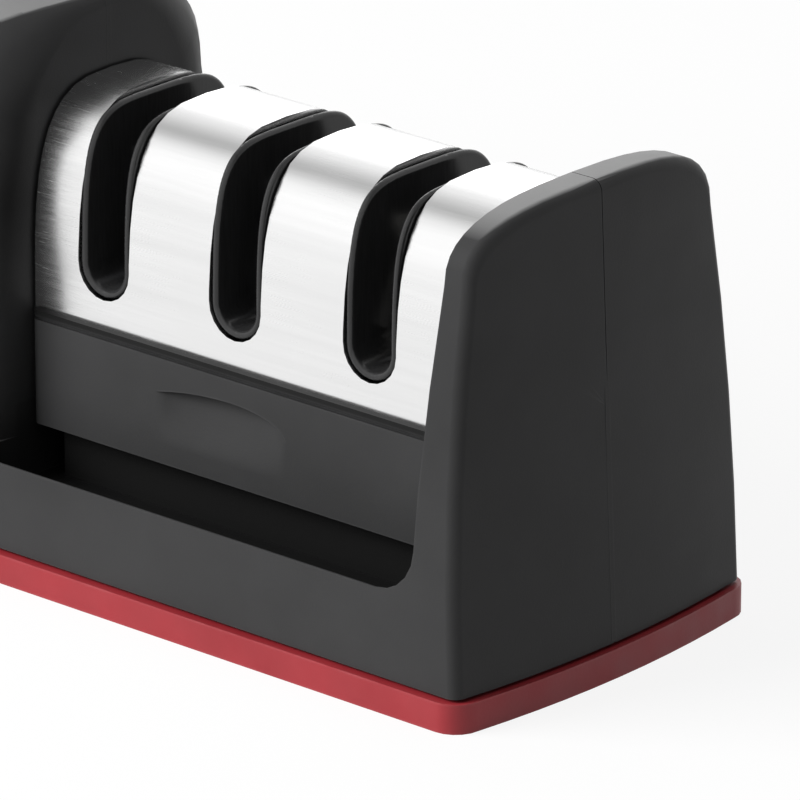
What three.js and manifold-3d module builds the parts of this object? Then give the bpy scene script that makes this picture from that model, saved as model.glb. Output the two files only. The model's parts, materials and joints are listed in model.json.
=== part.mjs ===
// A hand-held knife sharpener: a black clamshell housing with a closed grip at the left and an end
// cap at the right, a red non-slip base, and a lift-out cartridge with three sharpening slots.
// Millimetres, +X from the grip to the end cap, -Y the front, +Z up, the base's underside on Z = 0.
import * as THREE from "three";
import { mergeVertices } from "three/addons/utils/BufferGeometryUtils.js";
import Module from "manifold-3d";

// The housing as seen from above, at its lower edge.
const housingLength = 204;
const housingHalfDepth = 25;
const endBow = 2;
const endCornerRadius = 1.3;
const baseCornerRadius = 2.6;
const heelLength = 34;
const heelExponent = 2.4;
const heelTipShare = 0.05;
const endDraft = 0.045;

// The housing's cross-section: the sides lean in along a large arc that starts above the lower edge.
const sideArcStart = 2.5;
const capSideRadius = 248;
const gripSideRadius = 150;
const wall = 2.4;
const partingGap = 0.12;

// The end cap and the pillar that hold the cartridge between them.
const capThickness = 8.6;
const capHeight = 54.65;
const capShoulderHeight = 8;
const capShoulderExponent = 2.75;
const windowLean = 0.04;
const pillarEdgeRadius = 8.8;
const pillarEdgeFade = 6;
const crownEdgeRadius = 1.5;
const pillarEdgeStartShare = 0.02;
const pillarThickness = 20;
const pillarFaceThickness = 5.4;

// The grip: a crown over the pillar that rises to its middle and falls to the heel.
const gripPeakHeight = 66;
const gripPeakX = -20;
const pillarTopHeight = 60.3;
const heelTopHeight = 16;
const gripShoulderHeight = 13.3;
const gripShoulderExponent = 2.4;
const gripThickness = 23;
const heelThickness = 21;
const openingCornerRadius = 11;
const openingEdgeRadius = 3.5;

// The bay that the cartridge stands in.
const sillHeight = 10.5;
const windowCornerRadius = 5.5;
const sillEdge = 0.4;
const sillDrop = 1.6;
const troughFloorHeight = 4.6;
const troughFloorThickness = 1.8;
const plinthHeight = 14;
const plinthWall = 2;
const plinthClearance = 0.4;
const plinthSeat = 1.4;
const bayClearance = 0.4;

// The red base pad and the plate inside it.
const padHeight = 4;
const padFloor = 1.5;
const padOverhang = 0.8;
const padShadowGap = 0.4;
const plateInset = 1.2;
const plateClearance = 0.3;

// The cartridge's frame.
const cartridgeLength = 68;
const skirtHalfDepth = 14.2;
const skirtBottom = 11.4;
const skirtTop = 25.5;
const skirtWall = 2.2;
const skirtCornerRadius = 1;
const ledgeHeight = 0.7;
const ledgeGrooveHeight = 0.5;
const ledgeGrooveDepth = 0.5;
const upstandHeight = 2.6;
const upstandWall = 1.6;
const endWallThickness = 2;
const endWallHeight = 16;
const thumbTop = 21.5;
const thumbBottom = 13.8;
const thumbDepth = 2;
const thumbLeftReach = 11.7;
const thumbLeftSag = 1.45;
const thumbRightReach = 8.6;
const thumbRightSag = 2.8;
const thumbFade = 3;

// The steel cover over the frame: an arch of sheet with a slot for each stage.
const archStart = 26;
const coverHalfDepth = 13.4;
const coverTop = 51.6;
const coverExponent = 3.2;
const coverSheet = 0.8;
const coverFlange = 2.4;
const coverClearance = 0.3;
const slotCount = 3;
const firstSlotMargin = 10.9;
const lastSlotMargin = 16.1;
const slotWidth = 8;
const slotBottom = 28.8;

// The black guide inside each slot.
const linerClearance = 0.25;
const linerWall = 0.9;
const linerHalfDepth = 13;
const linerTop = 50.7;
const linerExponent = 4.6;
const linerLipRadius = 0.35;
const linerFootWidth = 7;
const linerFootHalfDepth = 9.8;
const linerBossWidth = 3;
const linerBossHalfDepth = 5.4;
const linerBossBottom = 35.5;
const linerBossTop = 45;

// The sharpening elements, crossed in a narrow V inside each guide.
const elementLean = 17;
const elementCrossing = 34.8;
const elementBelow = 4;
const elementAbove = 8.6;
const elementSetback = 2;
const elementClearance = 0.25;
const rodRadius = 1.5;
const rodChamfer = 0.3;
const bladeWidth = 4.2;
const bladeThickness = 2.4;

// Screws: pan heads with a cross recess.
const screwShankRadius = 1.3;
const screwHeadRadius = 2.7;
const screwHeadHeight = 1.5;
const screwHoleClearance = 0.3;
const screwEngagement = 6;
const screwCrownShare = 0.8;
const screwRimShare = 0.6;
const recessWidth = 0.8;
const recessLength = 3;
const recessDepth = 0.9;
const bossRadius = 4.2;
const baseBossRadius = 3.2;
const wellRadius = 3.4;
const wellFloorDistance = 7;

const overrun = 5;
const weld = 1e-4;
const nearest = 1e-3;
const arcSteps = 5;
const roundSteps = 16;

// Places that follow from the sizes above.
const rightX = housingLength / 2;
const leftX = -rightX;
const windowRight = rightX - capThickness;
const cartridgeRight = windowRight - bayClearance;
const cartridgeLeft = cartridgeRight - cartridgeLength;
const pillarX = cartridgeLeft - bayClearance;
const slotPitch = (cartridgeLength - firstSlotMargin - lastSlotMargin) / (slotCount - 1);
const slotCentres = Array.from(
  { length: slotCount },
  (_, i) => cartridgeLeft + firstSlotMargin + i * slotPitch,
);
const openingRight = pillarX - pillarThickness;
const openingLeft = leftX + heelThickness;
const plateThickness = padHeight - padFloor;
const plinthInset = skirtWall + plinthClearance;
const housingTop = gripPeakHeight + overrun;

const wasm = await Module();
wasm.setup();

// A three.js geometry as a solid. A mesh that was wound inside out is turned round first.
function solid(geometry) {
  const bare = geometry.index ? geometry.toNonIndexed() : geometry.clone();
  const positions = new THREE.BufferGeometry().setAttribute("position", bare.getAttribute("position"));
  const merged = mergeVertices(positions, weld);
  const vertProperties = new Float32Array(merged.attributes.position.array);
  const triVerts = new Uint32Array(merged.index.array);
  if (signedVolume(vertProperties, triVerts) < 0) triVerts.reverse();
  return new wasm.Manifold(new wasm.Mesh({ numProp: 3, vertProperties, triVerts }));
}

function signedVolume(points, triangles) {
  const corner = [new THREE.Vector3(), new THREE.Vector3(), new THREE.Vector3()];
  let volume = 0;
  for (let i = 0; i < triangles.length; i += 3) {
    corner.forEach((v, k) => v.fromArray(points, triangles[i + k] * 3));
    volume += corner[0].dot(corner[1].clone().cross(corner[2]));
  }
  return volume;
}

function geometryOf(body) {
  const mesh = body.getMesh();
  const points = new Float32Array((mesh.vertProperties.length / mesh.numProp) * 3);
  for (let i = 0; i < points.length / 3; i++) {
    for (let k = 0; k < 3; k++) points[i * 3 + k] = mesh.vertProperties[i * mesh.numProp + k];
  }
  const geometry = new THREE.BufferGeometry();
  geometry.setAttribute("position", new THREE.BufferAttribute(points, 3));
  geometry.setIndex(new THREE.BufferAttribute(new Uint32Array(mesh.triVerts), 1));
  geometry.computeVertexNormals();
  return geometry;
}

const join = (bodies) => bodies.reduce((sum, body) => sum.add(body));
const cut = (body, tools) => tools.reduce((rest, tool) => rest.subtract(tool), body);

// A box between two corners.
function box(x0, x1, y0, y1, z0, z1) {
  const geometry = new THREE.BoxGeometry(x1 - x0, y1 - y0, z1 - z0);
  geometry.translate((x0 + x1) / 2, (y0 + y1) / 2, (z0 + z1) / 2);
  return solid(geometry);
}

// A cylinder from one point to another.
function rod(from, to, radius, sides = roundSteps) {
  const along = new THREE.Vector3().subVectors(to, from);
  const geometry = new THREE.CylinderGeometry(radius, radius, along.length(), sides);
  const turn = new THREE.Quaternion().setFromUnitVectors(point(0, 1, 0), along.clone().normalize());
  geometry.applyQuaternion(turn);
  geometry.translate(...from.clone().addScaledVector(along, 0.5));
  return solid(geometry);
}

const point = (x, y, z) => new THREE.Vector3(x, y, z);

// A solid skinned over closed rings of points, all with the same count, and closed at both ends.
function skin(rings) {
  const count = rings[0].length;
  const centre = (ring) => ring.reduce((sum, p) => sum.add(p), new THREE.Vector3()).divideScalar(count);
  const vertices = [...rings.flat(), centre(rings[0]), centre(rings[rings.length - 1])];
  const index = [];
  for (let r = 0; r + 1 < rings.length; r++) {
    for (let i = 0; i < count; i++) {
      const [a, b] = [r * count + i, r * count + ((i + 1) % count)];
      index.push(a, b, b + count, a, b + count, a + count);
    }
  }
  const last = (rings.length - 1) * count;
  for (let i = 0; i < count; i++) {
    index.push(vertices.length - 2, (i + 1) % count, i);
    index.push(vertices.length - 1, last + i, last + ((i + 1) % count));
  }
  const geometry = new THREE.BufferGeometry().setFromPoints(vertices);
  geometry.setIndex(index);
  return solid(geometry);
}

const extruded = (shape, depth) =>
  new THREE.ExtrudeGeometry(shape, { depth, bevelEnabled: false, curveSegments: arcSteps });

// A shape drawn in X and Z, pushed through from front to back.
function acrossDepth(shape, y0, y1) {
  const geometry = extruded(shape, y1 - y0);
  geometry.rotateX(Math.PI / 2);
  geometry.translate(0, y1, 0);
  return solid(geometry);
}

// A shape drawn in Y and Z, pushed along X.
function alongLength(shape, x0, x1) {
  const geometry = extruded(shape, x1 - x0);
  geometry.applyMatrix4(new THREE.Matrix4().makeBasis(point(0, 1, 0), point(0, 0, 1), point(1, 0, 0)));
  geometry.translate(x0, 0, 0);
  return solid(geometry);
}

// A shape drawn in X and Y, pushed up.
function upward(shape, z0, z1) {
  const geometry = extruded(shape, z1 - z0);
  geometry.translate(0, 0, z0);
  return solid(geometry);
}

const spread = (steps, from, to) =>
  Array.from({ length: steps + 1 }, (_, i) => from + ((to - from) * i) / steps);
const quarter = (steps) => spread(steps, 0, Math.PI / 2);
const blend = THREE.MathUtils.lerp;
const lathe = (profile) =>
  new THREE.LatheGeometry(profile.map(([r, y]) => new THREE.Vector2(r, y)), roundSteps);

// Half the base's outline from above, from the heel's tip to the end's middle, grown outwards.
function halfPlan(grow) {
  const depth = housingHalfDepth + grow;
  const heelX = leftX + heelLength;
  const heelReach = heelLength + grow;
  const heel = quarter(2 * arcSteps).map((angle) => [
    heelX - heelReach * Math.cos(angle) ** (2 / heelExponent),
    depth * Math.sin(angle) ** (2 / heelExponent),
  ]);
  return [...heel, ...halfEnd(grow)];
}

const endBowAt = (y) => endBow * (y / housingHalfDepth) ** 2;

// The end's half of that outline: a small corner and a gently bowed face.
function halfEnd(grow) {
  const depth = housingHalfDepth + grow;
  const radius = baseCornerRadius + Math.max(grow, 0);
  const endX = rightX + grow;
  const cornerX = endX - endBowAt(depth - radius) - radius;
  const corner = quarter(arcSteps).reverse().map((angle) => [
    cornerX + radius * Math.cos(angle),
    depth - radius + radius * Math.sin(angle),
  ]);
  const end = spread(arcSteps, depth - radius, 0).map((y) => [endX - endBowAt(y), y]);
  return [...corner, ...end.slice(1)];
}

function planRing(grow, z) {
  const half = halfPlan(grow);
  const other = half.slice(1, -1).reverse();
  return [...half.map(([x, y]) => point(x, y, z)), ...other.map(([x, y]) => point(x, -y, z))];
}

// Height of the housing's top line along its length, before the bay is cut out.
function topAt(x) {
  if (x > pillarX) return capHeight;
  if (x > gripPeakX) {
    const along = (x - gripPeakX) / (pillarX - gripPeakX);
    return gripPeakHeight - (gripPeakHeight - pillarTopHeight) * along ** 2;
  }
  const along = (gripPeakX - x) / (gripPeakX - leftX);
  return heelTopHeight + (gripPeakHeight - heelTopHeight) * (1 - along ** 2) ** 0.5;
}

// How much of the full depth is left at a place along the length: less than all of it at the heel.
function heelShare(x) {
  const along = THREE.MathUtils.clamp((leftX + heelLength - x) / heelLength, 0, 1);
  return Math.max((1 - along ** heelExponent) ** (1 / heelExponent), heelTipShare);
}

// Half depth of the housing's sides at a place along its length and a height.
function halfDepthAt(x, z) {
  const along = THREE.MathUtils.smoothstep(x, gripPeakX, pillarX);
  const curvature = blend(1 / gripSideRadius, 1 / capSideRadius, along);
  const rise = Math.max(z - sideArcStart, 0);
  return heelShare(x) * (housingHalfDepth - (rise ** 2 * curvature) / 2);
}

// A cross-section: straight foot, leaning sides, shoulders that run into a crowned top, and the line
// under it all.
function sectionRing(x, bottom, inset) {
  const onCap = x > pillarX;
  const top = topAt(x) - inset;
  const shoulder = Math.min(onCap ? capShoulderHeight : gripShoulderHeight, top - bottom - inset);
  const power = 2 / (onCap ? capShoulderExponent : gripShoulderExponent);
  const start = top - shoulder;
  const half = spread(arcSteps - 1, bottom, start).map((z) => [halfDepthAt(x, z) - inset, z]);
  const reach = halfDepthAt(x, start) - inset;
  const round = quarter(2 * arcSteps).map((angle) => [
    reach * Math.cos(angle) ** power,
    start + shoulder * Math.sin(angle) ** power,
  ]);
  const right = [...half, ...round.slice(1, -1)];
  const left = [...right].reverse().map(([y, z]) => [-y, z]);
  const foot = halfDepthAt(x, bottom) - inset;
  const under = spread(2 * arcSteps, -foot, foot).slice(1, -1).map((y) => [y, bottom]);
  return [...right, [0, top], ...left, ...under].map(([y, z]) => point(x, y, z));
}

// Stations along the length: close together where the heel curves down.
function stations(left) {
  const heel = quarter(2 * arcSteps).reverse().map((angle) => blend(gripPeakX, left, Math.sin(angle)));
  const rise = spread(arcSteps, gripPeakX, pillarX).slice(1);
  return [...heel, ...rise, pillarX + partingGap];
}

// The right end: its rounded rim, and its drafted and bowed face in rings that shrink to the middle.
function endRings(bottom, inset) {
  const radius = endCornerRadius;
  const onEnd = (ring, back) => ring.map(({ y, z }) =>
    point(rightX - inset - back - endDraft * z - endBowAt(y), y, z));
  const rim = quarter(arcSteps).map((angle) => {
    const inward = radius * (1 - Math.cos(angle));
    return onEnd(sectionRing(rightX, bottom, inset + inward), radius * (1 - Math.sin(angle)));
  });
  const middle = (bottom + capHeight) / 2;
  const face = spread(arcSteps, 1, 0).slice(1, -1).map((share) => {
    const ring = rim[arcSteps].map(({ y, z }) => point(rightX, share * y, blend(middle, z, share)));
    return onEnd(ring, 0);
  });
  return [...rim, ...face];
}

// The housing as one solid lump, or the room inside it at an inset.
function sectionBody(inset, bottom) {
  const along = stations(leftX + 2 * inset).map((x) => sectionRing(x, bottom, inset));
  return skin([...along, ...endRings(bottom, inset)]);
}

// The grip's opening, drawn as seen from the front, and grown by a margin.
function openingOutline(grow) {
  const left = openingLeft - grow;
  const right = openingRight + grow;
  const low = sillHeight - grow;
  const inner = openingCornerRadius + grow;
  const roof = (x) => topAt(x) - gripThickness + grow;
  const shape = [];
  const arc = (x, z, from, to) => spread(arcSteps, from, to).forEach((angle) => {
    shape.push([x + inner * Math.cos(angle), z + inner * Math.sin(angle)]);
  });
  arc(right - inner, low + inner, -Math.PI / 2, 0);
  arc(right - inner, roof(right) - inner, 0, Math.PI / 2);
  const roofLeft = left + 2 * inner;
  spread(2 * arcSteps, right - inner, roofLeft).slice(1, -1).forEach((x) => shape.push([x, roof(x)]));
  const shoulder = new THREE.QuadraticBezierCurve(
    new THREE.Vector2(roofLeft, roof(roofLeft)),
    new THREE.Vector2(left, roof(roofLeft) - inner),
    new THREE.Vector2(left, low + inner),
  );
  shoulder.getPoints(2 * arcSteps).forEach((p) => shape.push([p.x, p.y]));
  arc(left + inner, low + inner, Math.PI, 1.5 * Math.PI);
  return withoutRepeats(shape);
}

function withoutRepeats(points) {
  const near = (a, b) => Math.hypot(a[0] - b[0], a[1] - b[1]) < nearest;
  return points.filter((p, i) => !near(p, points[(i + points.length - 1) % points.length]));
}

// Moves each point of a closed outline outwards along the mean of its two edges' normals.
function grownOutline(points, distance) {
  const count = points.length;
  return points.map(([x, z], i) => {
    const before = points[(i + count - 1) % count];
    const after = points[(i + 1) % count];
    const [along, up] = [after[0] - before[0], after[1] - before[1]];
    const share = distance / Math.hypot(along, up);
    return [x + up * share, z - along * share];
  });
}

// A tool that cuts an opening right through and rounds its edge where it meets the curved sides.
function flaredTool(outline, radius) {
  const lips = quarter(arcSteps).map((angle) => [
    radius * (1 - Math.cos(angle)),
    radius * (1 - Math.sin(angle)),
  ]);
  const profile = [...lips, [radius, -overrun]];
  const ring = (grow, depth, side) =>
    grownOutline(outline, grow).map(([x, z]) => point(x, side * (halfDepthAt(x, z) - depth), z));
  const front = profile.map(([grow, depth]) => ring(grow, depth, -1)).reverse();
  const back = profile.map(([grow, depth]) => ring(grow, depth, 1));
  return skin([...front, ...back]);
}

// Places round the grip's section from the sill up one side, over the top and down the other, each
// as a function of where along the length the section is.
function placesRound() {
  const startAt = (x) => topAt(x) - gripShoulderHeight;
  const power = 2 / gripShoulderExponent;
  const up = spread(arcSteps, 0, 1).map((share) => (x) => {
    const z = blend(sillHeight, startAt(x), share);
    return [halfDepthAt(x, z), z];
  });
  const over = quarter(2 * arcSteps).slice(1, -1).map((angle) => (x) => [
    halfDepthAt(x, startAt(x)) * Math.cos(angle) ** power,
    startAt(x) + gripShoulderHeight * Math.sin(angle) ** power,
  ]);
  const half = [...up, ...over];
  const mirrored = [...half].reverse().map((place) => (x) => {
    const [y, z] = place(x);
    return [-y, z];
  });
  return [...half, (x) => [0, topAt(x)], ...mirrored];
}

// The radius that the edge round the pillar's face has at a height: less and less over the crown.
function pillarEdgeRadiusAt(z) {
  const start = pillarTopHeight - gripShoulderHeight;
  const rise = Math.max(z - start, 0) / gripShoulderHeight;
  return blend(pillarEdgeRadius, crownEdgeRadius, rise ** pillarEdgeFade);
}

// A tool that rounds that edge, and follows the grip's surface where it leaves the face. It leaves the
// surface at a small angle, so that the two never run along each other.
function pillarEdgeTool() {
  const places = placesRound();
  return skin(places.map((place, i) => {
    const before = places[Math.max(i - 1, 0)](pillarX);
    const after = places[Math.min(i + 1, places.length - 1)](pillarX);
    const out = new THREE.Vector2(after[1] - before[1], before[0] - after[0]).normalize();
    const radius = pillarEdgeRadiusAt(place(pillarX)[1]);
    const at = (x, inward) => {
      const [y, z] = place(Math.min(x, pillarX));
      return point(x, y - out.x * inward, z - out.y * inward);
    };
    const round = quarter(arcSteps).map((angle) => at(
      pillarX - radius * (1 - Math.cos(angle)),
      radius * (1 - pillarEdgeStartShare - Math.sin(angle)),
    ));
    const outside = [at(pillarX - radius, -overrun), at(pillarX + overrun, -overrun)];
    return [...round, ...outside, at(pillarX + overrun, radius)];
  }));
}

// Where the cap's inner face stands at a height: it leans out towards the top.
const windowRightAt = (z) => windowRight + windowLean * Math.max(z - sillHeight, 0);

// The bay's window as seen from the front, and its ring at a depth, with its sill lowered.
function windowRing(y, drop) {
  const radius = windowCornerRadius;
  const corner = spread(arcSteps, -Math.PI / 2, 0).map((angle) => [
    windowRight + radius * (Math.cos(angle) - 1),
    sillHeight + radius * (Math.sin(angle) + 1),
  ]);
  const top = [[windowRightAt(housingTop), housingTop], [pillarX, housingTop]];
  return [[pillarX, sillHeight], ...corner, ...top].map(([x, z]) => point(x, y, z - drop));
}

// What the bay takes out: a window whose sill slopes down inside, and the trough behind it.
function bayTool() {
  const far = housingHalfDepth + overrun;
  const edge = housingHalfDepth - sillEdge;
  const inside = housingHalfDepth - wall;
  const front = [windowRing(-far, 0), windowRing(-edge, 0), windowRing(-inside, sillDrop)];
  const back = [windowRing(inside, sillDrop), windowRing(edge, 0), windowRing(far, 0)];
  const trough = box(pillarX, windowRight, -inside, inside, troughFloorHeight, housingTop);
  return join([skin([...front, ...back]), trough, pillarEdgeTool()]);
}

// The raised plinth that the cartridge fits over, hollow from below.
function plinth() {
  const x0 = cartridgeLeft + plinthInset;
  const x1 = cartridgeRight - plinthInset;
  const y = skirtHalfDepth - plinthInset;
  const outer = box(x0, x1, -y, y, troughFloorHeight - troughFloorThickness, plinthHeight);
  const inside = y - plinthWall;
  const roof = plinthHeight - plinthWall;
  const hollow = box(x0 + plinthWall, x1 - plinthWall, -inside, inside, -overrun, roof);
  return { outer, hollow };
}

// Everything inside the housing's walls, open at the bottom.
function cavity() {
  const inner = sectionBody(wall, -overrun);
  const depth = 2 * housingHalfDepth;
  const underFloor = troughFloorHeight - troughFloorThickness;
  const x0 = pillarX - pillarFaceThickness;
  const aroundBay = acrossDepth(shapeOf([
    [x0, underFloor],
    [windowRight + wall, underFloor],
    [windowRight + wall, sillHeight],
    [windowRightAt(housingTop) + wall, housingTop],
    [x0, housingTop],
  ]), -depth, depth);
  const aroundOpening = acrossDepth(shapeOf(openingOutline(wall)), -depth, depth);
  return cut(inner, [aroundBay, aroundOpening]);
}

const shapeOf = (points) => new THREE.Shape(points.map(([x, z]) => new THREE.Vector2(x, z)));

// Screws through the back shell into the front shell: in the pillar, the grip and the heel.
const housingScrews = [
  { name: "pillar", x: (openingRight + pillarX) / 2, z: (sillHeight + capHeight) / 2 },
  { name: "grip", x: gripPeakX, z: gripPeakHeight - gripThickness / 2 },
  { name: "heel", x: (leftX + openingLeft) / 2, z: sillHeight + openingCornerRadius / 2 },
];

// Screws up through the base plate: in the deck under the grip, and in the plinth.
const deckScrewX = (openingLeft + openingRight) / 2;
const plinthScrewX = (cartridgeLeft + cartridgeRight) / 2;
const plinthScrewY = (skirtHalfDepth - plinthInset - plinthWall) / 2;
const baseScrews = [
  { name: "deck_front", x: deckScrewX, y: -housingHalfDepth / 2, roof: sillHeight - wall },
  { name: "deck_back", x: deckScrewX, y: housingHalfDepth / 2, roof: sillHeight - wall },
  { name: "plinth_front", x: plinthScrewX, y: -plinthScrewY, roof: plinthHeight - plinthWall },
  { name: "plinth_back", x: plinthScrewX, y: plinthScrewY, roof: plinthHeight - plinthWall },
];

const holeRadius = screwShankRadius + screwHoleClearance;
const upright = (x, y, z0, z1, radius) => rod(point(x, y, z0), point(x, y, z1), radius);

function housing() {
  const depth = housingHalfDepth + overrun;
  const outer = sectionBody(0, 0);
  let body = cut(outer, [cavity()]);
  const across = (x, z, from, radius) => rod(point(x, from, z), point(x, depth, z), radius);
  const bosses = housingScrews.map(({ x, z }) => across(x, z, -depth, bossRadius));
  body = body.add(join(bosses).intersect(outer));
  body = cut(body, [bayTool(), flaredTool(openingOutline(0), openingEdgeRadius)]);
  const { outer: plinthOuter, hollow } = plinth();
  body = cut(body.add(plinthOuter), [hollow]);
  const posts = baseScrews.map(({ x, y, roof }) => upright(x, y, 0, roof + wall / 2, baseBossRadius));
  body = body.add(join(posts));
  const wells = housingScrews.map(({ x, z }) => across(x, z, wellFloorDistance, wellRadius));
  const reach = wellFloorDistance + screwEngagement + screwHoleClearance;
  const holes = housingScrews.map(({ x, z }) => across(x, z, -reach, holeRadius));
  const depthOfHole = screwEngagement + screwHoleClearance;
  const baseHoles = baseScrews.map(({ x, y }) => upright(x, y, -overrun, depthOfHole, holeRadius));
  return cut(body, [...wells, ...holes, ...baseHoles]);
}

function shells() {
  const body = housing();
  const depth = 2 * housingHalfDepth;
  const half = (y0, y1) =>
    body.intersect(box(leftX - overrun, rightX + overrun, y0, y1, -overrun, housingTop + overrun));
  return { front: half(-depth, -partingGap / 2), back: half(partingGap / 2, depth) };
}

const planSolid = (grow, z0, z1) => skin([planRing(grow, z0), planRing(grow, z1)]);

// The plate closes the housing from below. Screw heads sit in it from underneath.
function basePlate() {
  const seat = screwHeadHeight - plateThickness;
  const seatRadius = screwHeadRadius + screwHoleClearance;
  const holes = baseScrews.map(({ x, y }) => upright(x, y, -overrun, overrun, holeRadius));
  const seats = baseScrews.map(({ x, y }) => upright(x, y, -overrun, seat, seatRadius));
  return cut(planSolid(-plateInset, -plateThickness, 0), [...holes, ...seats]);
}

// The pad wraps the plate's underside and rim, and leaves the screws open.
function basePad() {
  const outer = planSolid(padOverhang, -padHeight, -padShadowGap);
  const seat = planSolid(plateClearance - plateInset, -plateThickness, overrun);
  const holes = baseScrews.map(({ x, y }) => upright(x, y, -padHeight - overrun, 0, wellRadius));
  return cut(outer, [seat, ...holes]);
}

// A screw along +Y with its head's seat at the origin: the head below it and the shank above.
function screw(engagement) {
  const profile = [
    [0, -screwHeadHeight],
    [screwHeadRadius * screwCrownShare, -screwHeadHeight],
    [screwHeadRadius, -screwHeadHeight * screwRimShare],
    [screwHeadRadius, 0],
    [screwShankRadius, 0],
    [screwShankRadius, engagement - screwShankRadius],
    [0, engagement],
  ];
  const body = solid(lathe(profile));
  const [long, wide] = [recessLength / 2, recessWidth / 2];
  const bottom = -screwHeadHeight + recessDepth;
  return cut(body, [
    box(-long, long, -screwHeadHeight - overrun, bottom, -wide, wide),
    box(-wide, wide, -screwHeadHeight - overrun, bottom, -long, long),
  ]);
}

const coverArch = { halfDepth: coverHalfDepth, top: coverTop, exponent: coverExponent };
const linerArch = { halfDepth: linerHalfDepth, top: linerTop, exponent: linerExponent };

// A superellipse arch over the cartridge, seen from its end, down to straight feet.
function archShape(arch, inset, foot) {
  const reach = arch.halfDepth - inset;
  const height = arch.top - inset - archStart;
  const power = 2 / arch.exponent;
  const curve = quarter(2 * arcSteps).map((angle) => [
    reach * Math.cos(angle) ** power,
    archStart + height * Math.sin(angle) ** power,
  ]);
  const half = [[reach, foot], ...curve.slice(0, -1)];
  const mirrored = [...half].reverse().map(([y, z]) => [-y, z]);
  return shapeOf([...half, [0, arch.top - inset], ...mirrored]);
}

// A slot's outline as seen from the front: straight sides, round bottom, open top.
function slotShape(centre, width, bottom, top) {
  const radius = width / 2;
  const shape = new THREE.Shape();
  shape.moveTo(centre - radius, top);
  shape.lineTo(centre - radius, bottom + radius);
  shape.absarc(centre, bottom + radius, radius, Math.PI, 2 * Math.PI, false);
  shape.lineTo(centre + radius, top);
  return shape;
}

function slotCover() {
  const depth = coverHalfDepth + overrun;
  const arch = (inset, foot, endInset) =>
    alongLength(archShape(coverArch, inset, foot), cartridgeLeft + endInset, cartridgeRight - endInset);
  const low = skirtTop - overrun;
  const slots = slotCentres.map((x) =>
    acrossDepth(slotShape(x, slotWidth, slotBottom, coverTop + overrun), -depth, depth));
  const hollow = arch(coverSheet, low, coverSheet);
  const ends = arch(coverFlange, low, -overrun);
  return cut(arch(0, skirtTop, 0), [hollow, ends, ...slots]);
}

// The thumb recess as seen from the front: a low arc above that turns down at its right.
function thumbOutline() {
  const peak = slotCentres[(slotCount - 1) / 2];
  const [left, right] = [peak - thumbLeftReach, peak + thumbRightReach];
  const rise = spread(arcSteps, 1, 0).map((share) => [
    peak - thumbLeftReach * share,
    thumbTop - thumbLeftSag * share ** 2,
  ]);
  const fall = quarter(2 * arcSteps).slice(1).map((angle) => [
    peak + thumbRightReach * Math.sin(angle),
    thumbTop - thumbRightSag * (1 - Math.cos(angle)),
  ]);
  return shapeOf([[left, thumbBottom], ...rise, ...fall, [right, thumbBottom]]);
}

// The recess: deepest under its upper edge, and fading out below and at its ends. Side is -1 for
// the front, 1 for the back.
function thumbRecess(side) {
  const far = skirtHalfDepth + overrun;
  const peak = slotCentres[(slotCount - 1) / 2];
  const middle = peak + (thumbRightReach - thumbLeftReach) / 2;
  const reach = (thumbRightReach + thumbLeftReach) / 2;
  const rings = spread(roundSteps, -1, 1).map((along) => {
    const deepest = thumbDepth * (1 - Math.abs(along) ** thumbFade);
    const surface = spread(2 * arcSteps, 0, 1).map((share) => point(
      middle + along * reach,
      side * (skirtHalfDepth - deepest * THREE.MathUtils.smoothstep(share, 0, 1)),
      blend(thumbBottom, thumbTop, share),
    ));
    const outside = [thumbTop, thumbBottom].map((z) => point(middle + along * reach, side * far, z));
    return [...surface, ...outside];
  });
  return skin(rings).intersect(acrossDepth(thumbOutline(), -far, far));
}

function roundedBox(x0, x1, halfDepth, z0, z1, radius) {
  const shape = new THREE.Shape();
  shape.moveTo(x0 + radius, -halfDepth);
  shape.lineTo(x1 - radius, -halfDepth);
  shape.absarc(x1 - radius, -halfDepth + radius, radius, -Math.PI / 2, 0, false);
  shape.absarc(x1 - radius, halfDepth - radius, radius, 0, Math.PI / 2, false);
  shape.absarc(x0 + radius, halfDepth - radius, radius, Math.PI / 2, Math.PI, false);
  shape.absarc(x0 + radius, -halfDepth + radius, radius, Math.PI, 1.5 * Math.PI, false);
  return upward(shape, z0, z1);
}

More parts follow.
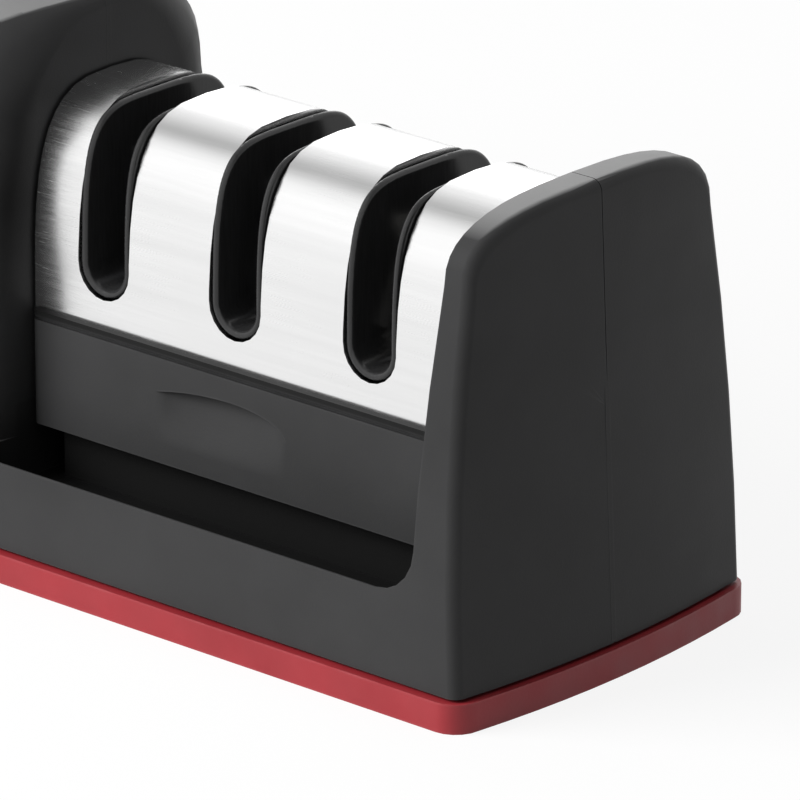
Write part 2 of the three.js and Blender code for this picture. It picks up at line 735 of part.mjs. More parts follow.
// The frame: a skirt that sits on the plinth by a ledge inside it, a deck, a rim that locates the
// cover, and an end wall inside each end of the cover.
function cartridgeFrame() {
  const deck = skirtTop - skirtWall;
  const [left, right] = [cartridgeLeft, cartridgeRight];
  const skirt = roundedBox(left, right, skirtHalfDepth, skirtBottom, skirtTop, skirtCornerRadius);
  const room = (thickness, z0, z1) => {
    const y = skirtHalfDepth - thickness;
    return box(left + thickness, right - thickness, -y, y, z0, z1);
  };
  const inside = room(skirtWall, skirtBottom - overrun, plinthHeight);
  const overSeat = room(skirtWall + plinthSeat, plinthHeight - overrun, deck);
  const grooveTop = skirtTop - ledgeHeight;
  const groove = (side) => {
    const deep = side * (skirtHalfDepth - ledgeGrooveDepth);
    const out = side * (skirtHalfDepth + overrun);
    const [y0, y1] = [Math.min(deep, out), Math.max(deep, out)];
    return box(left - overrun, right + overrun, y0, y1, grooveTop - ledgeGrooveHeight, grooveTop);
  };
  const fit = coverSheet + coverClearance;
  const x0 = left + fit;
  const x1 = right - fit;
  const y = coverHalfDepth - fit;
  const rim = box(x0, x1, -y, y, deck, skirtTop + upstandHeight);
  const rimRoom = y - upstandWall;
  const rimInside = box(x0 + upstandWall, x1 - upstandWall, -rimRoom, rimRoom, skirtTop, coverTop);
  const wallTop = box(x0, x1, -y, y, deck, skirtTop + endWallHeight);
  const endWall = (from) =>
    alongLength(archShape(coverArch, fit, deck), from, from + endWallThickness).intersect(wallTop);
  const walls = [endWall(x0), endWall(x1 - endWallThickness)];
  const body = join([cut(skirt, [inside, overSeat]), cut(rim, [rimInside]), ...walls]);
  const holes = slotCentres.map((x) => upright(x, 0, skirtBottom, coverTop, holeRadius));
  return cut(body, [groove(-1), groove(1), thumbRecess(-1), thumbRecess(1), ...holes]);
}

// A guide: a channel with rounded lips, a foot on the deck, and bosses that hold the elements.
function slotLiner(centre, elements) {
  const width = slotWidth - 2 * linerClearance;
  const bottom = slotBottom + linerClearance;
  const depth = coverHalfDepth + overrun;
  const top = coverTop + overrun;
  const low = skirtTop;
  const channel = (grow, inset) =>
    acrossDepth(slotShape(centre, width + 2 * grow, bottom - grow, top), -depth, depth)
      .intersect(alongLength(archShape(linerArch, inset, low), centre - width, centre + width));
  const body = join([channel(-linerLipRadius, 0), channel(0, linerLipRadius)]);
  const block = (halfWidth, halfDepth, z0, z1) =>
    box(centre - halfWidth, centre + halfWidth, -halfDepth, halfDepth, z0, z1);
  const foot = block(linerFootWidth / 2, linerFootHalfDepth, skirtTop, bottom + width / 2);
  const boss = block(width / 2 + linerBossWidth, linerBossHalfDepth, linerBossBottom, linerBossTop);
  const inner = slotShape(centre, width - 2 * linerWall, bottom + linerWall, top);
  const pilot = upright(centre, 0, skirtTop - overrun, bottom + linerWall / 2, holeRadius);
  return cut(join([body, foot, boss]), [acrossDepth(inner, -depth, depth), pilot, ...elements]);
}

// An element stands on the crossing of its V, leans to one side, and sits before or behind its pair.
function placeElement(geometry, centre, side) {
  geometry.translate(0, 0, (elementAbove - elementBelow) / 2);
  geometry.rotateY(THREE.MathUtils.degToRad(side * elementLean));
  geometry.translate(centre, side * elementSetback, elementCrossing);
  return solid(geometry);
}

function elementGeometry(stage, grow) {
  const length = elementAbove + elementBelow + 2 * grow;
  if (stage === 0) {
    return new THREE.BoxGeometry(bladeWidth + 2 * grow, bladeThickness + 2 * grow, length);
  }
  const radius = rodRadius + grow;
  const end = radius - rodChamfer;
  const half = length / 2;
  const side = half - rodChamfer;
  const profile = [[0, -half], [end, -half], [radius, -side], [radius, side], [end, half], [0, half]];
  return lathe(profile).rotateX(Math.PI / 2);
}

const colours = {
  housing: { color: 0x2b2b2c, roughness: 0.45, metalness: 0 },
  rubber: { color: 0x9c2f35, roughness: 0.6, metalness: 0 },
  plate: { color: 0x232324, roughness: 0.6, metalness: 0 },
  steel: { color: 0xd9dadb, roughness: 0.2, metalness: 1 },
  guide: { color: 0x111113, roughness: 0.12, metalness: 0 },
  screw: { color: 0x9a9a9c, roughness: 0.35, metalness: 1 },
  carbide: { color: 0x6d6f73, roughness: 0.4, metalness: 1 },
  diamond: { color: 0x9fa2a6, roughness: 0.7, metalness: 0.6 },
  ceramic: { color: 0xf1efe8, roughness: 0.5, metalness: 0 },
};

function mesh(name, body, colour, parent) {
  const made = new THREE.Mesh(geometryOf(body), new THREE.MeshStandardMaterial(colours[colour]));
  made.name = name;
  parent.add(made);
  return made;
}

const sharpener = new THREE.Group();
const upper = new THREE.Group();
upper.position.z = padHeight;
sharpener.add(upper);

const { front, back } = shells();
mesh("front_shell", front, "housing", upper);
mesh("back_shell", back, "housing", upper);
mesh("base_plate", basePlate(), "plate", upper);
mesh("base_pad", basePad(), "rubber", upper);

const housingShank = wellFloorDistance + screwEngagement;
housingScrews.forEach(({ name, x, z }) => {
  const made = mesh(`housing_screw_${name}`, screw(housingShank), "screw", upper);
  made.rotation.z = Math.PI;
  made.position.set(x, wellFloorDistance, z);
});
const baseShank = plateThickness - screwHeadHeight + screwEngagement;
baseScrews.forEach(({ name, x, y }) => {
  const made = mesh(`base_screw_${name}`, screw(baseShank), "screw", upper);
  made.rotation.x = Math.PI / 2;
  made.position.set(x, y, screwHeadHeight - plateThickness);
});

mesh("cartridge_frame", cartridgeFrame(), "housing", upper);
mesh("slot_cover", slotCover(), "steel", upper);

const stages = [
  { name: "carbide_blade", colour: "carbide" },
  { name: "diamond_rod", colour: "diamond" },
  { name: "ceramic_rod", colour: "ceramic" },
];
const linerShank = skirtWall + slotBottom - skirtTop;
slotCentres.forEach((centre, i) => {
  const kind = Math.min(i, stages.length - 1);
  const { name, colour } = stages[kind];
  const element = (side, grow) => placeElement(elementGeometry(kind, grow), centre, side);
  const pockets = [element(-1, elementClearance), element(1, elementClearance)];
  mesh(`slot_liner_${i + 1}`, slotLiner(centre, pockets), "guide", upper);
  mesh(`${name}_front_${i + 1}`, element(-1, 0), colour, upper);
  mesh(`${name}_back_${i + 1}`, element(1, 0), colour, upper);
  const made = mesh(`liner_screw_${i + 1}`, screw(linerShank), "screw", upper);
  made.rotation.x = Math.PI / 2;
  made.position.set(centre, 0, skirtTop - skirtWall);
});

export default sharpener;
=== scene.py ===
"""Looks for a hand-held knife sharpener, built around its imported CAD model."""

import json
import math

import bpy
import numpy as np
from mathutils import Matrix, Vector

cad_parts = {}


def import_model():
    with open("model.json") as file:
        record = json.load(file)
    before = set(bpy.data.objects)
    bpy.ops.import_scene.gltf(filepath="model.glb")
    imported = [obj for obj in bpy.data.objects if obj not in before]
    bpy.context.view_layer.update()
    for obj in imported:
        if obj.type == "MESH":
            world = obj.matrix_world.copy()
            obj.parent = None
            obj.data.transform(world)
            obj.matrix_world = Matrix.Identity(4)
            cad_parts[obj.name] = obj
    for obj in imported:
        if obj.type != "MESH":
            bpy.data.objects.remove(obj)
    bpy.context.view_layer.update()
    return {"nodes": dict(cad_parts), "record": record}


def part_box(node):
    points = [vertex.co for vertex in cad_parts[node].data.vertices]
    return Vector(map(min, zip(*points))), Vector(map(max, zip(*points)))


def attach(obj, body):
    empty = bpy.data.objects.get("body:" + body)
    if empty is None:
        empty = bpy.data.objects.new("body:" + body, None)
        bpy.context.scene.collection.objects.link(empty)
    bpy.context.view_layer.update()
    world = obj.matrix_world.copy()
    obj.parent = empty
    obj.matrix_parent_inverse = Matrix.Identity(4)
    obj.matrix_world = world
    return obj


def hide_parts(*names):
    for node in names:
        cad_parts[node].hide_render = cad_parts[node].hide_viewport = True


MM = 0.001

# The height of the red pad, in millimetres. The heights below are counted from its top.
PAD = 4

# The camera, fitted to the photograph: where it stands round the object, and its framing. Right and up
# are its shifts from the foot of the end cap. Lens and sensor are in millimetres, the reach in metres.
CAMERA_AZIMUTH = math.radians(41.496)
CAMERA_ELEVATION = math.radians(20.589)
CAMERA_DISTANCE = 973.3 * MM
CAMERA_RIGHT = -24.178 * MM
CAMERA_UP = 27.396 * MM
CAMERA_LENS = 388.1
CAMERA_SENSOR = 36.0
CAMERA_REACH = 10

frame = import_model()


def camera():
    a, e = CAMERA_AZIMUTH, CAMERA_ELEVATION
    back = Vector((math.sin(a) * math.cos(e), -math.cos(a) * math.cos(e), math.sin(e)))
    right = Vector((math.cos(a), math.sin(a), 0))
    up = back.cross(right)
    data = bpy.data.cameras.new("camera")
    data.lens = CAMERA_LENS
    data.sensor_width = CAMERA_SENSOR
    data.clip_end = CAMERA_REACH
    made = bpy.data.objects.new("camera", data)
    foot = Vector((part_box("front_shell")[1].x, 0, PAD * MM))
    place = foot + right * CAMERA_RIGHT + up * CAMERA_UP + back * CAMERA_DISTANCE
    turn = Matrix((right, up, back)).transposed().to_4x4()
    made.matrix_world = Matrix.Translation(place) @ turn
    bpy.context.scene.collection.objects.link(made)
    bpy.context.scene.camera = made


class Look:
    """A node material, or a world's node tree. An input takes a plain value or a node's output."""

    def __init__(self, name, tree=None):
        if tree is None:
            self.material = bpy.data.materials.new(name)
            self.material.use_nodes = True
            tree = self.material.node_tree
        self.tree = tree
        self.tree.nodes.clear()

    def add(self, kind, inputs=None, **settings):
        made = self.tree.nodes.new("ShaderNode" + kind)
        for key, value in settings.items():
            setattr(made, key, value)
        for key, value in (inputs or {}).items():
            if isinstance(value, bpy.types.NodeSocket):
                self.tree.links.new(value, made.inputs[key])
            else:
                made.inputs[key].default_value = value
        return made

    def math(self, operation, *values):
        return self.add("Math", dict(enumerate(values)), operation=operation).outputs[0]

    def times(self, first, *others):
        for other in others:
            first = self.math("MULTIPLY", first, other)
        return first

    def larger(self, first, second):
        return self.math("MAXIMUM", first, second)

    def place(self, stretch=(1, 1, 1)):
        """Points of the piece in metres, closer or further apart along each axis."""
        here = self.add("TexCoord").outputs["Object"]
        return self.add("Mapping", {"Vector": here, "Scale": stretch}).outputs[0]

    def noise(self, size, detail=3.0, stretch=(1, 1, 1)):
        """Noise from 0 to 1 whose lumps are about the given size in metres."""
        inputs = {"Vector": self.place(stretch), "Scale": 1 / size, "Detail": detail}
        return self.add("TexNoise", inputs).outputs[0]

    def span(self, value, low, high, start=0.3, end=0.7):
        """Moves a value that runs from start to end into the range from low to high."""
        inputs = {0: value, 1: start, 2: end, 3: low, 4: high}
        return self.add("MapRange", inputs).outputs[0]

    def blend(self, factor, first, second):
        """Mixes two plain colours."""
        inputs = {0: factor, 6: (*first, 1), 7: (*second, 1)}
        return self.add("Mix", inputs, data_type="RGBA").outputs[2]

    def over(self, factor, colour, top):
        """Lays a plain colour over the output of another node."""
        inputs = {0: factor, 6: colour, 7: (*top, 1)}
        return self.add("Mix", inputs, data_type="RGBA").outputs[2]

    def within(self, axis, low, high, soft):
        """1 where the piece's own coordinate lies between two values in millimetres, with soft ends."""
        low, high, soft = low * MM, high * MM, soft * MM
        here = self.add("TexCoord").outputs["Object"]
        value = self.add("SeparateXYZ", {0: here}).outputs[axis]
        above = self.span(value, 0, 1, start=low - soft, end=low + soft)
        below = self.span(value, 1, 0, start=high - soft, end=high + soft)
        return self.times(above, below)

    def edges(self, radius):
        """1 along sharp edges and 0 on open faces."""
        bevel = self.add("Bevel", {"Radius": radius}, samples=6).outputs[0]
        flat = self.add("NewGeometry").outputs["Normal"]
        same = self.add("VectorMath", {0: bevel, 1: flat}, operation="DOT_PRODUCT").outputs["Value"]
        return self.span(same, 1, 0, start=0.85, end=0.995)

    def bump(self, height, depth, strength=1.0, normal=None):
        inputs = {"Height": height, "Distance": depth, "Strength": strength}
        if normal is not None:
            inputs["Normal"] = normal
        return self.add("Bump", inputs).outputs[0]

    def finish(self, colour, roughness, normal=None, **plain):
        inputs = {"Base Color": colour, "Roughness": roughness}
        inputs.update({key.replace("_", " "): value for key, value in plain.items()})
        if normal is not None:
            inputs["Normal"] = normal
        shader = self.add("BsdfPrincipled", inputs)
        out = self.add("OutputMaterial")
        self.tree.links.new(shader.outputs[0], out.inputs["Surface"])
        return self.material


# The plastic's colours, and how far its gloss drifts and rubbed edges are smoother.
BLACK = (0.035, 0.035, 0.0355)
GREY = (0.056, 0.056, 0.057)
DRIFT = 0.04
RUBBED_SMOOTHER = 0.08

# Boxes painted darker as shade, where shade falls in the trough, beside the pillar and on the ledge: low,
# high and softness in millimetres along each axis.
PAINTED_SHADE = (0.01, 0.01, 0.01)
TROUGH = ((24.7, 93.3, 0.2), (-22.7, 22.7, 0.2), (-9, 18.1, 0.2))
PILLAR_FRONT = ((21.5, 28, 2.5), (-27, -12, 3), (36, 50, 8))
PILLAR_BACK = ((21.5, 28, 2.5), (12, 27, 3), (36, 50, 8))
LEDGE = ((0, 100, 0.2), (-30, 30, 0.2), (28.8, 31, 0.2))

# Painted light: upper faces are painted paler, standing in for the light that falls on them from above.
# From where in Z they start, how flat they must be, and how much paler they get. On the grip, low to high
# in X, they reach further down the sides.
PAINTED_TOP_LIGHT = (0.29, 0.29, 0.29)
PAINTED_TOP_LIGHT_IN_Z = (52, 90, 6)
PAINTED_TOP_LIGHT_SHARE = 0.75
SLOPED, LEVEL = 0.84, 0.98
GRIP_IN_X = (-120, 40, 0.2)
GRIP_SLOPES_MORE = 0.07


def moulded(name, dark, light, roughness, painted_shade_boxes=(), specular=0.5):
    """Moulded plastic: a fine spark-eroded grain, slow drifts in tone and gloss, rubbed edges, upper faces
    painted paler as light from above, and boxes painted darker as shade."""
    look = Look(name)
    drift = look.noise(18 * MM, detail=4)
    rubbed = look.times(look.edges(0.5 * MM), look.span(look.noise(5 * MM), 0.3, 1))
    colour = look.blend(look.larger(look.span(drift, 0, 0.45), rubbed), dark, light)
    # Painted light: faces that point up, high on the piece, are painted paler, as light from above.
    facing = look.add("SeparateXYZ", {0: look.add("TexCoord").outputs["Normal"]}).outputs[2]
    held = look.times(look.within(0, *GRIP_IN_X), GRIP_SLOPES_MORE)
    level = look.span(look.math("ADD", facing, held), 0, PAINTED_TOP_LIGHT_SHARE, start=SLOPED, end=LEVEL)
    colour = look.over(look.times(level, look.within(2, *PAINTED_TOP_LIGHT_IN_Z)), colour, PAINTED_TOP_LIGHT)
    # Painted shade: the insides of these boxes are painted dark, standing in for the shade that falls
    # there.
    for box in painted_shade_boxes:
        inside = look.times(*(look.within(axis, *side) for axis, side in enumerate(box)))
        colour = look.over(inside, colour, PAINTED_SHADE)
    gloss = look.span(look.noise(7 * MM, detail=5), roughness - DRIFT, roughness + DRIFT)
    gloss = look.math("SUBTRACT", gloss, look.times(rubbed, RUBBED_SMOOTHER))
    grain = look.bump(look.noise(0.28 * MM, detail=2), depth=0.012 * MM)
    normal = look.bump(look.noise(9 * MM, detail=2), depth=0.05 * MM, strength=0.3, normal=grain)
    return look.finish(colour, gloss, normal, Specular_IOR_Level=specular)


def rubber():
    """Satin red rubber with a little dust on its edges."""
    look = Look("base_rubber")
    drift = look.span(look.noise(14 * MM, detail=4), 0, 1)
    dust = look.times(look.edges(0.6 * MM), look.span(look.noise(3 * MM), 0.2, 0.9), 0.35)
    tone = look.blend(drift, (0.27, 0.02, 0.026), (0.35, 0.032, 0.04))
    colour = look.over(dust, tone, (0.5, 0.16, 0.17))
    gloss = look.span(look.noise(5 * MM, detail=4), 0.4, 0.52)
    normal = look.bump(look.noise(0.35 * MM, detail=2), depth=0.02 * MM, strength=0.6)
    return look.finish(colour, gloss, normal, Specular_IOR_Level=0.4)


def brushed(name, dark, light, roughness, along, size=0.12 * MM, depth=0.006 * MM):
    """Brushed metal: long fine scratches along one axis, and a soft drift in gloss."""
    look = Look(name)
    stretch = [1.0, 1.0, 1.0]
    stretch[along] = 0.02
    lines = look.noise(size, 3, stretch)
    broad = look.noise(1.2 * MM, 2, stretch)
    drift = look.noise(12 * MM, 3)
    colour = look.blend(look.times(look.span(broad, 0, 1), look.span(drift, 0.4, 1)), dark, light)
    gloss = look.math("ADD", look.span(lines, roughness - 0.04, roughness + 0.05),
                      look.span(drift, -0.02, 0.03))
    return look.finish(colour, gloss, look.bump(lines, depth, strength=0.5), Metallic=1.0)


def glossy_guide():
    """Glossy plastic with upright scuffs and worn lips."""
    look = Look("guide_plastic")
    scuffs = look.noise(0.3 * MM, 4, (1, 1, 0.08))
    worn = look.times(look.edges(0.3 * MM), look.span(look.noise(2 * MM), 0.2, 1))
    wear = look.larger(worn, look.span(scuffs, 0, 0.3))
    colour = look.blend(wear, (0.022, 0.022, 0.0225), (0.045, 0.045, 0.046))
    gloss = look.span(scuffs, 0.14, 0.22)
    normal = look.bump(scuffs, depth=0.004 * MM, strength=0.5)
    return look.finish(colour, gloss, normal, Specular_IOR_Level=0.35)


def grit():
    """Diamond grains in a nickel plating."""
    look = Look("diamond_grit")
    grains = look.add("TexVoronoi", {"Vector": look.place(), "Scale": 1 / (0.18 * MM)}).outputs["Distance"]
    colour = look.blend(look.span(grains, 0, 1, start=0.1, end=0.6), (0.5, 0.5, 0.51), (0.2, 0.2, 0.21))
    normal = look.bump(grains, depth=0.05 * MM, strength=0.9)
    return look.finish(colour, look.span(look.noise(0.2 * MM), 0.35, 0.65), normal, Metallic=1.0)


def ceramic():
    """Unglazed white ceramic with faint stains."""
    look = Look("ceramic")
    stain = look.noise(3 * MM, 4)
    colour = look.blend(look.span(stain, 0, 1), (0.84, 0.82, 0.76), (0.9, 0.89, 0.85))
    normal = look.bump(look.noise(0.1 * MM, 3), depth=0.01 * MM, strength=0.6)
    return look.finish(colour, look.span(stain, 0.45, 0.6), normal)


# The axis along which each metal is brushed.
ALONG_X, ALONG_Y = 0, 1
looks = {
    # The housing and the frame get painted shade in their boxes and painted light on their upper faces.
    "housing": moulded("housing_plastic", BLACK, GREY, 0.4, (TROUGH, PILLAR_FRONT, PILLAR_BACK),
                       specular=0.12),
    "frame": moulded("frame_plastic", BLACK, GREY, 0.4, (LEDGE,), specular=0.12),
    "plate": moulded("plate_plastic", (0.016, 0.016, 0.016), (0.03, 0.03, 0.03), 0.5),
    "rubber": rubber(),
    "screw": brushed("screw_steel", (0.42, 0.42, 0.43), (0.56, 0.56, 0.57), 0.3, ALONG_Y),
    "steel": brushed("cover_steel", (0.86, 0.86, 0.86), (0.92, 0.92, 0.92), 0.22, ALONG_X,
                     depth=0.002 * MM),
    "guide": glossy_guide(),
    "carbide": brushed("carbide", (0.16, 0.16, 0.17), (0.26, 0.26, 0.27), 0.3, ALONG_X, size=0.08 * MM),
    "diamond": grit(),
    "ceramic": ceramic(),
}

# How far the edges of the pieces that show are rounded, in millimetres.
ROUNDED = {"front_shell": 0.3, "back_shell": 0.3, "cartridge_frame": 0.25, "base_pad": 0.4}

# Angles in degrees: faces that are joined as flat, edges that are rounded, and edges that stay sharp.
# Points closer than the weld distance, in metres, become one.
FLAT_ANGLE = 0.1
ROUNDED_ANGLE = 35
SHARP_ANGLE = 28
WELD_DISTANCE = 1e-6
ROUNDING_STEPS = 3
FACE_AREA_WEIGHT = 60


def shade(node, rounding=None):
    """Smooth shading between sharp edges, and edges rounded by the given radius in millimetres."""
    weld = node.modifiers.new("weld", "WELD")
    weld.merge_threshold = WELD_DISTANCE
    if rounding:
        flats = node.modifiers.new("flats", "DECIMATE")
        flats.decimate_type = "DISSOLVE"
        flats.angle_limit = math.radians(FLAT_ANGLE)
        bevel = node.modifiers.new("bevel", "BEVEL")
        bevel.width = rounding * MM
        bevel.segments = ROUNDING_STEPS
        bevel.limit_method = "ANGLE"
        bevel.angle_limit = math.radians(ROUNDED_ANGLE)
    node.data.shade_smooth()
    split = node.modifiers.new("split", "EDGE_SPLIT")
    split.split_angle = math.radians(SHARP_ANGLE)
    if rounding:
        even = node.modifiers.new("even", "WEIGHTED_NORMAL")
        even.mode = "FACE_AREA"
        even.weight = FACE_AREA_WEIGHT


def dress(subparts):
    """Gives each solid its look and its shading."""
    for row in subparts:
        node = frame["nodes"][row["node"]]
        node.data.materials.clear()
        node.data.materials.append(looks[row["material_slot"]])
        shade(node, ROUNDED.get(row["node"]))


def mesh_object(name, points, faces):
    """A new piece from points in millimetres."""
    data = bpy.data.meshes.new(name)
    data.from_pydata([tuple(p) for p in np.asarray(points) * MM], [], [tuple(f) for f in faces])
    data.validate()
    made = bpy.data.objects.new(name, data)
    bpy.context.scene.collection.objects.link(made)
    return made


# The guides in the slots, in millimetres: each is a channel whose lip is rounded all round, more so
# inside, and it stands a little proud of the steel at its shoulders.
GUIDE_BENDS = PAD + 32.8
GUIDE_OUTSIDE = 3.75
GUIDE_INSIDE = 2.85
GUIDE_START = PAD + 26
GUIDE_TOP = PAD + 50.9
GUIDE_HALF_DEPTH = 13.15
GUIDE_EXPONENT = 4.6
GUIDE_FOOT = PAD + 25.5
GUIDE_FOOT_HALVES = (3.5, 9.8)
LIP_OUTSIDE = 0.35
LIP_INSIDE = 0.55

# The boss that widens the guide round its elements, and the pilot hole for its screw.
BOSS_HALVES = (6.75, 5.4)
BOSS_FOOT = PAD + 35.5
BOSS_TOP = PAD + 45
PILOT_RADIUS = 1.6
PILOT_TOP = PAD + 30.4

# The elements' rooms: they cross, one before and one behind the middle.
ELEMENT_LEAN = math.radians(17)
ELEMENT_CROSSING = PAD + 34.8
ELEMENT_SETBACK = 2
ELEMENT_BELOW = 4.25
ELEMENT_ABOVE = 8.85
BLADE_HALF_WIDTH = 2.35
BLADE_HALF_DEPTH = 1.45
ROD_RADIUS = 1.75

# The box in which each guide is drawn, past the guide by the margin, and the size of its cells. Points
# are drawn onto the surface in rounds, and stay within a share of a cell from its middle.
GUIDE_BOX_HALVES = (7.2, 13.7)
GUIDE_MARGIN = 0.4
GUIDE_CELL = 0.25
DRAWING_ROUNDS = 6
CELL_SHARE = 0.6
LEAST_SLOPE = 0.1


def rounded_both(first, second, radius):
    """The room that lies in both of two fields, with the edge between them rounded."""
    outside = np.hypot(np.maximum(first + radius, 0), np.maximum(second + radius, 0))
    return np.minimum(np.maximum(first, second), -radius) + outside


def block_field(x, y, z, halves, bottom, top):
    return np.maximum.reduce([abs(x) - halves[0], abs(y) - halves[1], bottom - z, z - top])


def arch_field(y, z):
    """Roughly the distance from the guide's outline as seen from the end, negative inside."""
    deep = abs(y) / GUIDE_HALF_DEPTH
    high = np.maximum(z - GUIDE_START, 0) / (GUIDE_TOP - GUIDE_START)
    size = (deep ** GUIDE_EXPONENT + high ** GUIDE_EXPONENT) ** (1 / GUIDE_EXPONENT) + 1e-9
    power = GUIDE_EXPONENT - 1
    slope = np.hypot((deep / size) ** power / GUIDE_HALF_DEPTH,
                     (high / size) ** power / (GUIDE_TOP - GUIDE_START))
    return np.maximum((size - 1) / slope, GUIDE_FOOT - z)


def pocket_field(x, y, z, side, flat):
    """The room for one element: a leaning blade or rod before or behind the middle."""
    lean = side * ELEMENT_LEAN
    up = z - ELEMENT_CROSSING
    across = x * math.cos(lean) - up * math.sin(lean)
    along = x * math.sin(lean) + up * math.cos(lean)
    ends = np.maximum(-ELEMENT_BELOW - along, along - ELEMENT_ABOVE)
    deep = y - side * ELEMENT_SETBACK
    if flat:
        return np.maximum.reduce([abs(across) - BLADE_HALF_WIDTH, abs(deep) - BLADE_HALF_DEPTH, ends])
    return np.maximum(np.hypot(across, deep) - ROD_RADIUS, ends)


def guide_field(x, y, z, flat):
    """Negative inside the guide. X runs from the slot's middle."""
    reach = np.where(z > GUIDE_BENDS, abs(x), np.hypot(x, z - GUIDE_BENDS))
    arch = arch_field(y, z)
    channel = rounded_both(reach - GUIDE_OUTSIDE, arch, LIP_OUTSIDE)
    foot = block_field(x, y, z, GUIDE_FOOT_HALVES, GUIDE_FOOT, GUIDE_BENDS)
    boss = block_field(x, y, z, BOSS_HALVES, BOSS_FOOT, BOSS_TOP)
    body = np.minimum(np.minimum(channel, foot), boss)
    body = np.maximum(body, rounded_both(GUIDE_INSIDE - reach, arch, LIP_INSIDE))
    pilot = np.maximum(np.hypot(x, y) - PILOT_RADIUS, z - PILOT_TOP)
    for tool in (pilot, pocket_field(x, y, z, -1, flat), pocket_field(x, y, z, 1, flat)):
        body = np.maximum(body, -tool)
    return body


def drawn_on(field, middles, step):
    """Points drawn from the middles of cells onto a field's surface, and kept close to their cells."""
    points = middles.copy()
    probe = step / 20
    for _ in range(DRAWING_ROUNDS):
        slope = np.stack([(field(*(points + side).T) - field(*(points - side).T)) / (2 * probe)
                          for side in np.eye(3) * probe], 1)
        size = np.maximum((slope ** 2).sum(1), LEAST_SLOPE)
        move = -(field(*points.T) / size)[:, None] * slope
        points += np.clip(move, -step / 2, step / 2)
    return np.clip(points, middles - step * CELL_SHARE, middles + step * CELL_SHARE)


def surface_of(field, low, high, step):
    """Points and four-sided faces of a field's surface inside a box. Each cell that the surface crosses
    has one point, and each edge between cells that it crosses has a face round it."""
    axes = [np.arange(a, b + step, step) for a, b in zip(low, high)]
    inside = field(*np.meshgrid(*axes, indexing="ij")) < 0
    cells = [n - 1 for n in inside.shape]
    count = sum(inside[tuple(slice(s, s + n) for s, n in zip(shift, cells))].astype(int)
                for shift in np.ndindex(2, 2, 2))
    crossed = (count > 0) & (count < 8)
    index = np.full(cells, -1)
    index[crossed] = np.arange(crossed.sum())
    points = drawn_on(field, np.array(low) + (np.argwhere(crossed) + 0.5) * step, step)
    faces = []
    for axis in range(3):
        first, second = [a for a in range(3) if a != axis]
        near = [slice(1, -1)] * 3
        near[axis] = slice(0, cells[axis])
        far = list(near)
        far[axis] = slice(1, cells[axis] + 1)
        edges = np.argwhere(inside[tuple(near)] != inside[tuple(far)])
        edges[:, first] += 1
        edges[:, second] += 1
        around = []
        for a, b in ((-1, -1), (0, -1), (0, 0), (-1, 0)):
            cell = edges.copy()
            cell[:, first] += a
            cell[:, second] += b
            around.append(index[tuple(cell.T)])
        quads = np.stack(around, 1)
        leaves = inside[tuple(edges.T)]
        turned = leaves if axis == 1 else ~leaves
        quads[turned] = quads[turned][:, ::-1]
        faces.append(quads)
    return points, np.concatenate(faces)


def slot_guides():
    """Three guides with rounded lips in place of the plainer solids."""
    half_x, half_y = GUIDE_BOX_HALVES
    low = (-half_x, -half_y, GUIDE_FOOT - GUIDE_MARGIN)
    high = (half_x, half_y, GUIDE_TOP + GUIDE_MARGIN)
    for number, flat in ((1, True), (2, False), (3, False)):
        node = f"slot_liner_{number}"
        left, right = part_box(node)
        centre = (left.x + right.x) / 2 / MM
        points, faces = surface_of(lambda x, y, z: guide_field(x, y, z, flat), low, high, GUIDE_CELL)
        made = mesh_object(f"slot_guide_{number}", points + np.array([centre, 0, 0]), faces)
        made.data.shade_smooth()
        made.data.materials.append(looks["guide"])
        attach(made, "cartridge")
        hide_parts(node)


# Strips along the housing's parting line, in millimetres, where its two halves meet without a visible
# line: up the end, and up the pillar's face and over its crown. Each starts a little proud of the
# surface and sinks into it where the line begins to show.
STRIP_HALF = 0.42
STRIP_DEPTH = 0.6
PROUD = 0.012
SUNK = -0.35

# The end leans in by the draft, and the strip's heights up it are each with their lift.
END_X = 102
END_DRAFT = 0.045
UP_END = ((0.2, PROUD), (8, PROUD), (16, PROUD), (23, PROUD),
          (30, 0), (33, -0.05), (37, -0.15), (42, SUNK))

# The pillar's face, the rounded edge above it in steps of degrees, and the crown, which falls from its
# highest point, at X and height, by so much over the pillar's edge.
PILLAR_X = 24.6
UP_PILLAR = (11, 25, 40, 50)
CROWN_EDGE = 1.5
CROWN_EDGE_SUNK = 0.02
CROWN_TURNS = range(0, 91, 9)
CROWN_PEAK_X = -20
CROWN_PEAK = PAD + 66
CROWN_FALL = 5.7
OVER_CROWN = [(x, PROUD) for x in range(22, 0, -2)] + [(-3, -0.1), (-6, SUNK)]


def parting_strip(name, edge):
    """A thin strip across the parting line that follows points of X, Z and height over the surface."""
    points = []
    for i, (x, z, lift) in enumerate(edge):
        before, after = edge[max(i - 1, 0)], edge[min(i + 1, len(edge) - 1)]
        along = Vector((after[0] - before[0], after[1] - before[1])).normalized()
        for down in (-lift, STRIP_DEPTH):
            for side in (-STRIP_HALF, STRIP_HALF):
                points.append((x - along.y * down, side, z + along.x * down))
    faces = []
    last = 4 * (len(edge) - 1)
    for a in range(0, last, 4):
        b = a + 4
        faces += [(a, a + 1, b + 1, b), (a + 2, b + 2, b + 3, a + 3)]
        faces += [(a, b, b + 2, a + 2), (a + 1, a + 3, b + 3, b + 1)]
    faces += [(0, 2, 3, 1), (last, last + 1, last + 3, last + 2)]
    made = mesh_object(name, points, faces)
    made.data.materials.append(looks["housing"])
    shade(made)
    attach(made, "housing")


def crown_height(x):
    return CROWN_PEAK - CROWN_FALL * ((x - CROWN_PEAK_X) / (PILLAR_X - CROWN_PEAK_X)) ** 2


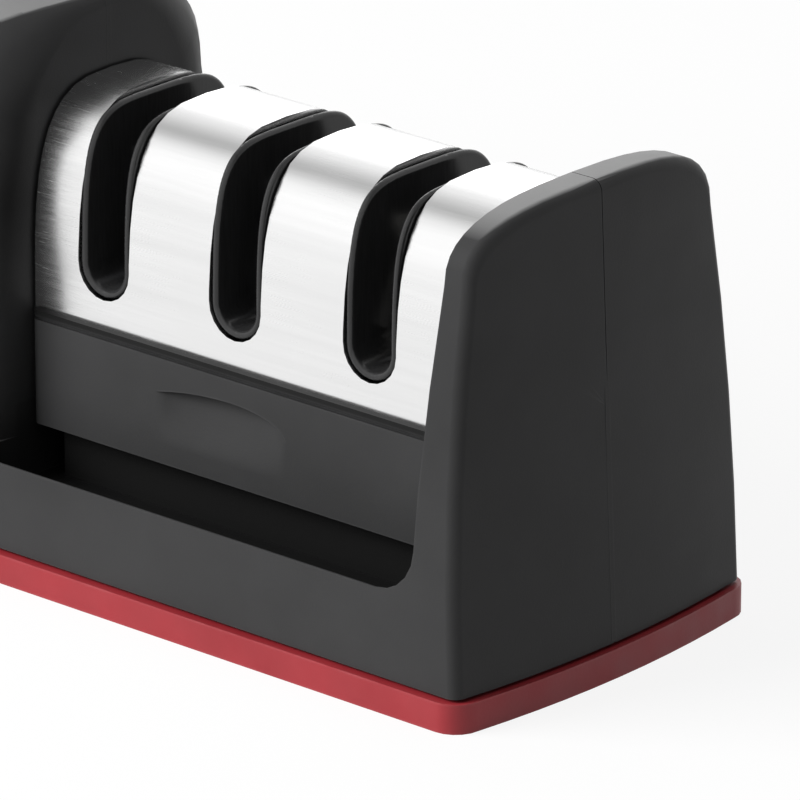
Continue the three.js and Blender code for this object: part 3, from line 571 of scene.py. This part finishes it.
def parting_strips():
    parting_strip("parting_strip_end", [(END_X - END_DRAFT * z, PAD + z, lift) for z, lift in UP_END])
    face = [(PILLAR_X, PAD + z, PROUD) for z in UP_PILLAR]
    turned = []
    for degrees in CROWN_TURNS:
        turn = math.radians(degrees)
        x = PILLAR_X - CROWN_EDGE * (1 - math.cos(turn))
        down = CROWN_EDGE * (1 - CROWN_EDGE_SUNK - math.sin(turn))
        turned.append((x, crown_height(x) - down, PROUD))
    crown = [(x, crown_height(x), lift) for x, lift in OVER_CROWN]
    parting_strip("parting_strip_pillar", face + turned + crown)


# The floor: half its side in millimetres, the share that glows white for the camera and in mirrors, and
# its grey as a source of bounced light and as the camera sees it.
FLOOR_HALF = 2000
FLOOR_GLOW = 0.88
FLOOR_BOUNCED, FLOOR_SEEN = 0.6, 0.95


def stage():
    """A plain pale floor, with the object's shadow on it."""
    corners = [(x * FLOOR_HALF, y * FLOOR_HALF, 0) for x, y in ((-1, -1), (1, -1), (1, 1), (-1, 1))]
    floor = mesh_object("floor", corners, [(0, 1, 2, 3)])
    look = Look("floor")
    path = look.add("LightPath").outputs
    share = look.times(look.larger(path["Is Camera Ray"], path["Is Glossy Ray"]), FLOOR_GLOW)
    tone = look.span(path["Is Camera Ray"], FLOOR_BOUNCED, FLOOR_SEEN, start=0, end=1)
    diffuse = look.add("BsdfDiffuse", {"Color": tone})
    glow = look.add("Emission", {"Strength": 1.0})
    mixed = look.add("MixShader", {0: share, 1: diffuse.outputs[0], 2: glow.outputs[0]})
    out = look.add("OutputMaterial")
    look.tree.links.new(mixed.outputs[0], out.inputs["Surface"])
    floor.data.materials.append(look.material)


# The studio round the object: how much it lights the object, and what the steel mirrors, by the Y and
# Z of the mirrored direction: white walls, a little stronger above the horizon, and a grey band
# overhead that rises and falls along Y.
STUDIO_LIGHT = 0.15
STUDIO_WALL = 1.0
WALL_ABOVE = 1.15
WALL_FROM, WALL_TO = 0.02, 0.25
BAND_SHARE = 0.42
BAND_FROM, BAND_TO = 0.3, 0.55
BAND_RISES = (-0.54, -0.19)
BAND_FALLS = (-0.12, 0.58)


def world():
    made = bpy.data.worlds.new("studio")
    made.use_nodes = True
    look = Look("studio", made.node_tree)
    path = look.add("LightPath").outputs
    way = look.add("SeparateXYZ", {0: look.add("TexCoord").outputs["Generated"]}).outputs
    high = look.span(way[2], 0, 1, start=BAND_FROM, end=BAND_TO)
    band = look.times(look.span(way[1], 0, 1, *BAND_RISES), look.span(way[1], 1, 0, *BAND_FALLS), high)
    above = look.span(way[2], STUDIO_WALL, WALL_ABOVE, start=WALL_FROM, end=WALL_TO)
    wall = look.times(above, look.span(band, 1.0, BAND_SHARE, start=0, end=1))
    white = look.larger(path["Is Camera Ray"], path["Is Transmission Ray"])
    seen = look.larger(white, path["Is Glossy Ray"])
    strength = look.add("Mix", {0: seen, 2: STUDIO_LIGHT, 3: look.larger(white, wall)}).outputs[0]
    background = look.add("Background", {"Color": (1, 1, 1, 1), "Strength": strength})
    out = look.add("OutputWorld")
    look.tree.links.new(background.outputs[0], out.inputs["Surface"])
    bpy.context.scene.world = made


def softbox(name, place, aim, size, power, mirrored=True):
    """A soft lamp that stands at a place and faces the aim, in metres and watts."""
    data = bpy.data.lights.new(name, "AREA")
    data.shape = "RECTANGLE"
    data.size, data.size_y = size
    data.energy = power
    made = bpy.data.objects.new(name, data)
    made.location = place
    made.rotation_euler = (Vector(aim) - Vector(place)).to_track_quat("-Z", "Y").to_euler()
    made.visible_camera = False
    made.visible_glossy = mirrored
    bpy.context.scene.collection.objects.link(made)


dress(frame["record"]["subparts"])
slot_guides()
parting_strips()
camera()
stage()
world()
bpy.context.scene.view_settings.view_transform = "Standard"
AIM = (0.05, 0, 0.03)
softbox("front", (-0.62, -0.9, 0.68), AIM, size=(0.9, 0.7), power=25, mirrored=False)
softbox("top", (0.0, 0.1, 1.2), AIM, size=(0.8, 0.8), power=3, mirrored=False)
softbox("back", (-0.77, 0.9, 0.46), (0.05, 0, 0.04), size=(0.9, 0.5), power=1.5)
